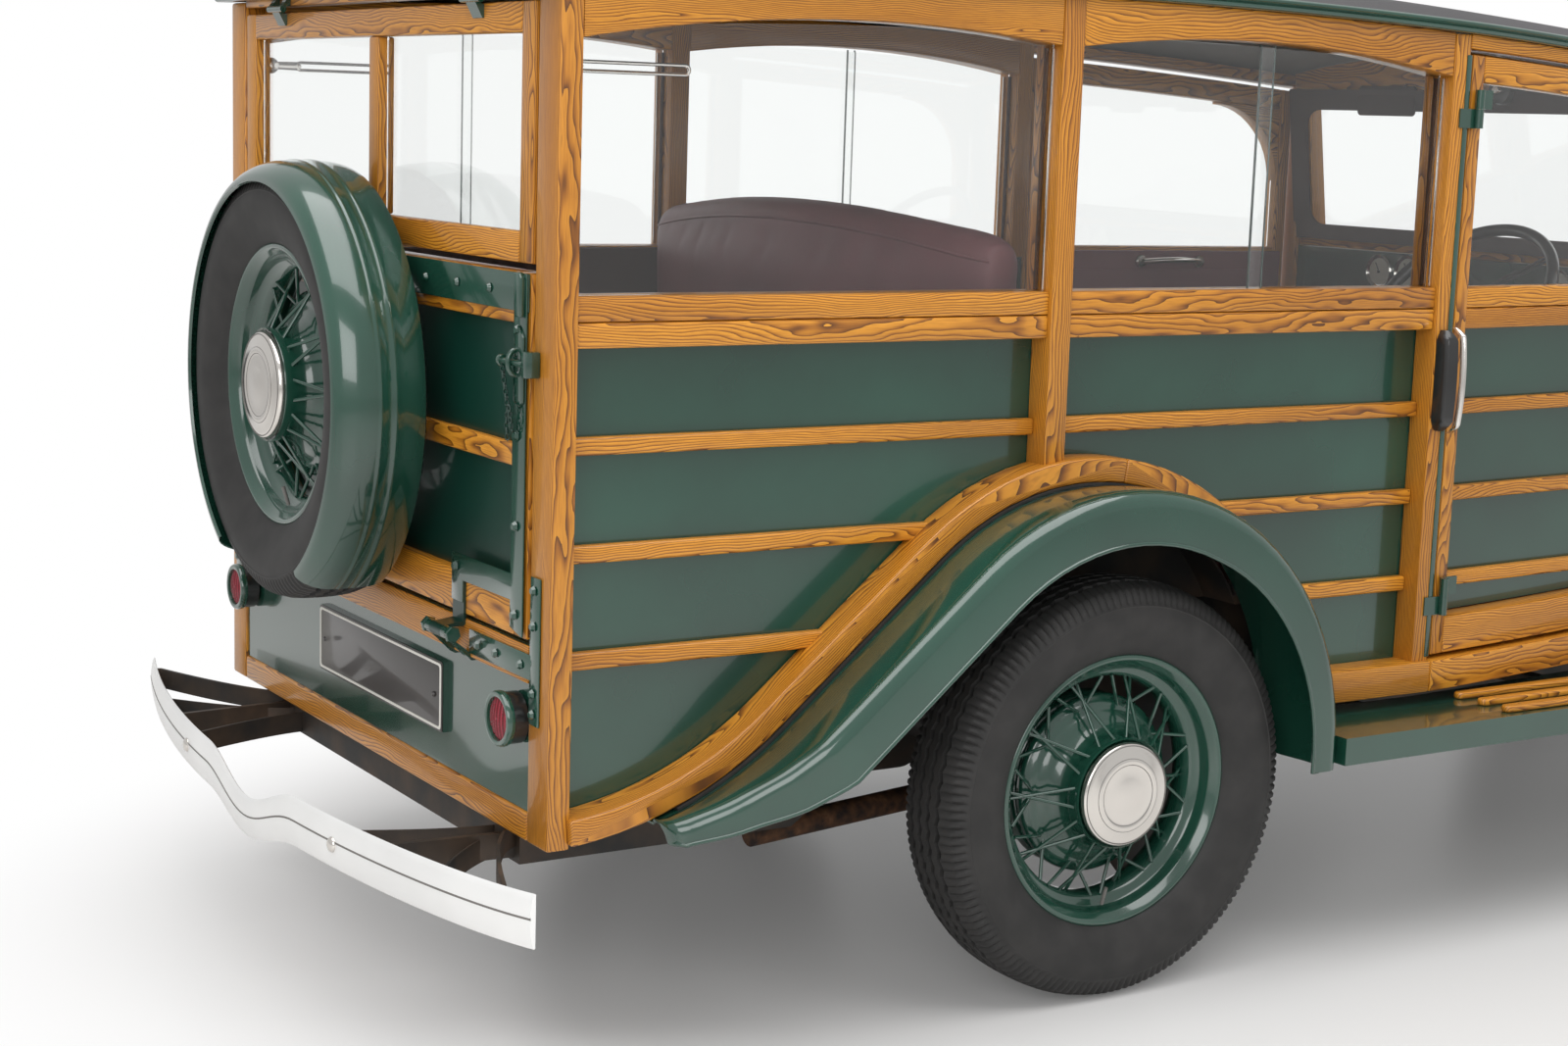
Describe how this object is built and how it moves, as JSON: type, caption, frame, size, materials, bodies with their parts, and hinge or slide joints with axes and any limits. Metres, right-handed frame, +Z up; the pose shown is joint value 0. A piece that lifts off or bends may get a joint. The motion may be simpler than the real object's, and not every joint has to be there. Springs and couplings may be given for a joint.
{
  "type": "timber-bodied station wagon",
  "caption": "Two-door timber-framed estate car with opening doors, hood, drop tailgate carrying the spare wheel, lifting rear window, steering and rolling wheels.",
  "frame": {"origin": "on the ground under the middle of the overall length and width", "axes": "+X forward, +Y to the car's left, +Z up"},
  "size_m": [4.775, 1.744, 1.7962],
  "materials": {
    "chassis_black": "satin black",
    "engine_iron": "painted casting",
    "exhaust_steel": "dull",
    "floor_board": "oiled boards",
    "ash": "varnished",
    "body_green": "gloss coach paint",
    "roof_fabric": "coated fabric",
    "window_glass": "clear",
    "black_paint": "gloss",
    "wheel_rim_black": "hard rubber",
    "grille_metal": "bright",
    "bead_rubber": "matt",
    "lamp_metal": "gloss",
    "bumper_metal": "polished",
    "seat_leather": "worn maroon hide",
    "wheel_paint": "gloss",
    "tyre_rubber": "matt",
    "bright_metal": "bright"
  },
  "bodies": {
    "body": {"chassis_frame": "chassis_black", "axles": "chassis_black", "engine": "engine_iron", "exhaust": "exhaust_steel", "floor": "floor_board", "side_timber_left": "ash", "side_timber_right": "ash", "cross_timber": "ash", "body_panels": "body_green", "roof": "roof_fabric", "drip_moulding": "body_green", "fixed_glass": "window_glass", "cowl": "body_green", "dash": "body_green", "signals": "black_paint", "fuel_tank": "chassis_black", "radiator_shell": "body_green", "grille": "grille_metal", "front_fenders": "body_green", "rear_fenders": "body_green", "arch_beads": "bead_rubber", "running_boards": "body_green", "board_strips": "ash", "lamps": "lamp_metal", "bumpers": "bumper_metal", "front_seat": "seat_leather", "rear_seat": "seat_leather"},
    "door_left": {"door_timber_left": "ash", "door_panel_left": "body_green", "door_glass_left": "window_glass"},
    "door_right": {"door_timber_right": "ash", "door_panel_right": "body_green", "door_glass_right": "window_glass"},
    "tailgate": {"tailgate_timber": "ash", "tailgate_panel": "body_green", "spare_wheel": "wheel_paint", "spare_tyre": "tyre_rubber", "spare_cover": "body_green"},
    "rear_window": {"rear_window_timber": "ash", "rear_window_glass": "window_glass", "rear_window_hinges": "body_green"},
    "flap_stays": {"flap_stays": "bright_metal"},
    "hood_top_left": {"hood_top_left": "body_green"},
    "hood_top_right": {"hood_top_right": "body_green"},
    "hood_side_left": {"hood_side_left": "body_green"},
    "hood_side_right": {"hood_side_right": "body_green"},
    "knuckle_left": {"knuckle_left": "chassis_black"},
    "knuckle_right": {"knuckle_right": "chassis_black"},
    "tie_rod": {"tie_rod": "chassis_black"},
    "steering_wheel": {"steering_wheel": "wheel_rim_black"},
    "wheel_front_left": {"front_wheel_left": "wheel_paint", "front_tyre_left": "tyre_rubber"},
    "wheel_front_right": {"front_wheel_right": "wheel_paint", "front_tyre_right": "tyre_rubber"},
    "wheel_rear_left": {"rear_wheel_left": "wheel_paint", "rear_tyre_left": "tyre_rubber"},
    "wheel_rear_right": {"rear_wheel_right": "wheel_paint", "rear_tyre_right": "tyre_rubber"}
  },
  "joints": [
    {"name": "rear_left_roll", "type": "hinge", "parent": "body", "child": "wheel_rear_left", "pos_m": [-1.1075, 0.72, 0.366], "axis": [0, 1, 0], "continuous": true},
    {"name": "rear_right_roll", "type": "hinge", "parent": "body", "child": "wheel_rear_right", "pos_m": [-1.1075, -0.72, 0.366], "axis": [0, 1, 0], "continuous": true},
    {"name": "steer_left", "type": "hinge", "parent": "body", "child": "knuckle_left", "pos_m": [1.7375, 0.571, 0.366], "axis": [0, 0, 1], "range_deg": [-30, 30]},
    {"name": "steer_right", "type": "hinge", "parent": "body", "child": "knuckle_right", "pos_m": [1.7375, -0.571, 0.366], "axis": [0, 0, 1], "range_deg": [-30, 30]},
    {"name": "tie_rod_pivot", "type": "hinge", "parent": "knuckle_left", "child": "tie_rod", "pos_m": [1.5875, 0.571, 0.366], "axis": [0, 0, 1], "range_deg": [-30, 30]},
    {"name": "front_left_roll", "type": "hinge", "parent": "knuckle_left", "child": "wheel_front_left", "pos_m": [1.7375, 0.701, 0.366], "axis": [0, 1, 0], "continuous": true},
    {"name": "front_right_roll", "type": "hinge", "parent": "knuckle_right", "child": "wheel_front_right", "pos_m": [1.7375, -0.701, 0.366], "axis": [0, 1, 0], "continuous": true},
    {"name": "steering_wheel_turn", "type": "hinge", "parent": "body", "child": "steering_wheel", "pos_m": [0.0825, -0.345, 1.15], "axis": [-0.7431, 0, 0.6691], "range_deg": [-360, 360]},
    {"name": "door_left_hinge", "type": "hinge", "parent": "body", "child": "door_left", "pos_m": [-0.2755, 0.705, 1], "axis": [0, 0, 1], "range_deg": [0, 70]},
    {"name": "door_right_hinge", "type": "hinge", "parent": "body", "child": "door_right", "pos_m": [-0.2755, -0.705, 1], "axis": [0, 0, -1], "range_deg": [0, 70]},
    {"name": "tailgate_hinge", "type": "hinge", "parent": "body", "child": "tailgate", "pos_m": [-2.1925, 0, 0.661], "axis": [0, -1, 0], "range_deg": [0, 85]},
    {"name": "rear_window_hinge", "type": "hinge", "parent": "body", "child": "rear_window", "pos_m": [-2.1715, 0, 1.654], "axis": [0, 1, 0], "range_deg": [0, 85]},
    {"name": "stay_pivot", "type": "hinge", "parent": "rear_window", "child": "flap_stays", "pos_m": [-2.1132, 0, 1.556], "axis": [0, 1, 0], "range_deg": [-74.38, 0]},
    {"name": "hood_left_hinge", "type": "hinge", "parent": "body", "child": "hood_top_left", "pos_m": [0.6685, 0, 1.196], "axis": [0.997, 0, -0.0772], "range_deg": [0, 55]},
    {"name": "hood_right_hinge", "type": "hinge", "parent": "body", "child": "hood_top_right", "pos_m": [0.6685, 0, 1.196], "axis": [-0.997, 0, 0.0772], "range_deg": [0, 55]},
    {"name": "hood_side_left_hinge", "type": "hinge", "parent": "hood_top_left", "child": "hood_side_left", "pos_m": [0.6685, 0.52, 1.064], "axis": [0.96, -0.2706, -0.0723], "range_deg": [-19.8, 0]},
    {"name": "hood_side_right_hinge", "type": "hinge", "parent": "hood_top_right", "child": "hood_side_right", "pos_m": [0.6685, -0.52, 1.064], "axis": [-0.96, -0.2706, 0.0723], "range_deg": [-19.8, 0]}
  ],
  "couplings": [
    {"joint": "steer_right", "follows": "steer_left", "ratio": 1},
    {"joint": "tie_rod_pivot", "follows": "steer_left", "ratio": -1},
    {"joint": "steering_wheel_turn", "follows": "steer_left", "ratio": 12},
    {"joint": "rear_window_hinge", "follows": "tailgate_hinge", "ratio": 1},
    {"joint": "stay_pivot", "follows": "tailgate_hinge", "ratio": -0.875},
    {"joint": "hood_side_left_hinge", "follows": "hood_left_hinge", "ratio": -0.36},
    {"joint": "hood_side_right_hinge", "follows": "hood_right_hinge", "ratio": -0.36}
  ]
}
